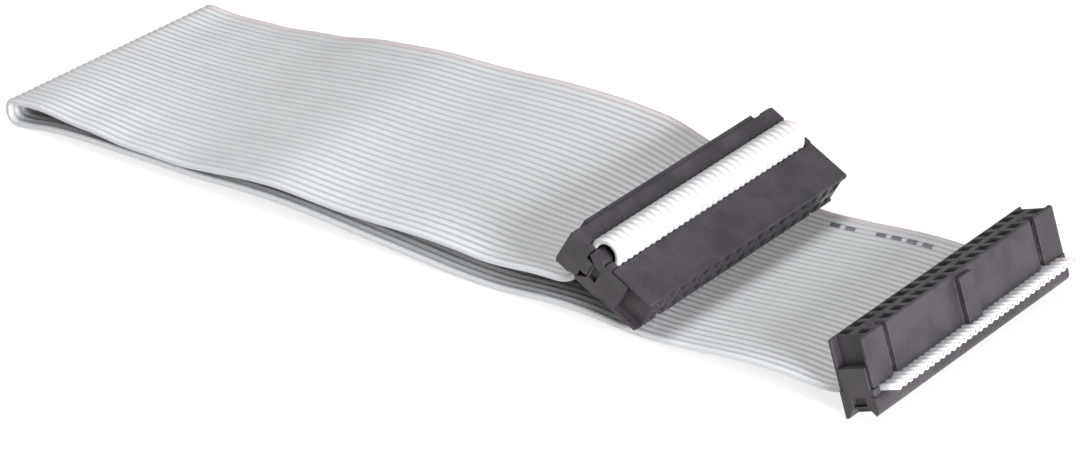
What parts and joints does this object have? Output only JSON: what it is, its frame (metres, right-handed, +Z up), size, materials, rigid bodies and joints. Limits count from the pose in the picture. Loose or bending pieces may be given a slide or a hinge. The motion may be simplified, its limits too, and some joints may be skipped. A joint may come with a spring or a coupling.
{
  "type": "ribbon cable",
  "caption": "Grey flat ribbon cable, folded back on itself, with a black two-row press-on socket at each end, one of them with a strain relief.",
  "frame": {"origin": "centre of the bounding box in plan, on the surface that the cable lies on", "axes": "+X runs along the cable from its fold to the lower socket, +Y across it towards the striped edge, +Z up"},
  "size_m": [0.1315, 0.0458, 0.0121],
  "materials": {
    "grey_insulation": "satin",
    "tinned_copper": "drawn",
    "contact_metal": "plated",
    "black_plastic": "moulded"
  },
  "bodies": {
    "root": {"ribbon_insulation": "grey_insulation", "conductor_01": "tinned_copper", "conductor_02": "tinned_copper", "conductor_03": "tinned_copper", "conductor_04": "tinned_copper", "conductor_05": "tinned_copper", "conductor_06": "tinned_copper", "conductor_07": "tinned_copper", "conductor_08": "tinned_copper", "conductor_09": "tinned_copper", "conductor_10": "tinned_copper", "conductor_11": "tinned_copper", "conductor_12": "tinned_copper", "conductor_13": "tinned_copper", "conductor_14": "tinned_copper", "conductor_15": "tinned_copper", "conductor_16": "tinned_copper", "conductor_17": "tinned_copper", "conductor_18": "tinned_copper", "conductor_19": "tinned_copper", "conductor_20": "tinned_copper", "conductor_21": "tinned_copper", "conductor_22": "tinned_copper", "conductor_23": "tinned_copper", "conductor_24": "tinned_copper", "conductor_25": "tinned_copper", "conductor_26": "tinned_copper", "conductor_27": "tinned_copper", "conductor_28": "tinned_copper", "conductor_29": "tinned_copper", "conductor_30": "tinned_copper", "conductor_31": "tinned_copper", "conductor_32": "tinned_copper", "conductor_33": "tinned_copper", "conductor_34": "tinned_copper", "lower_contacts_row_a": "contact_metal", "lower_contacts_row_b": "contact_metal", "upper_contacts_row_a": "contact_metal", "upper_contacts_row_b": "contact_metal", "lower_socket_housing": "black_plastic", "lower_socket_cover": "black_plastic", "upper_socket_housing": "black_plastic", "upper_socket_cover": "black_plastic", "upper_strain_relief": "black_plastic"}
  },
  "joints": []
}
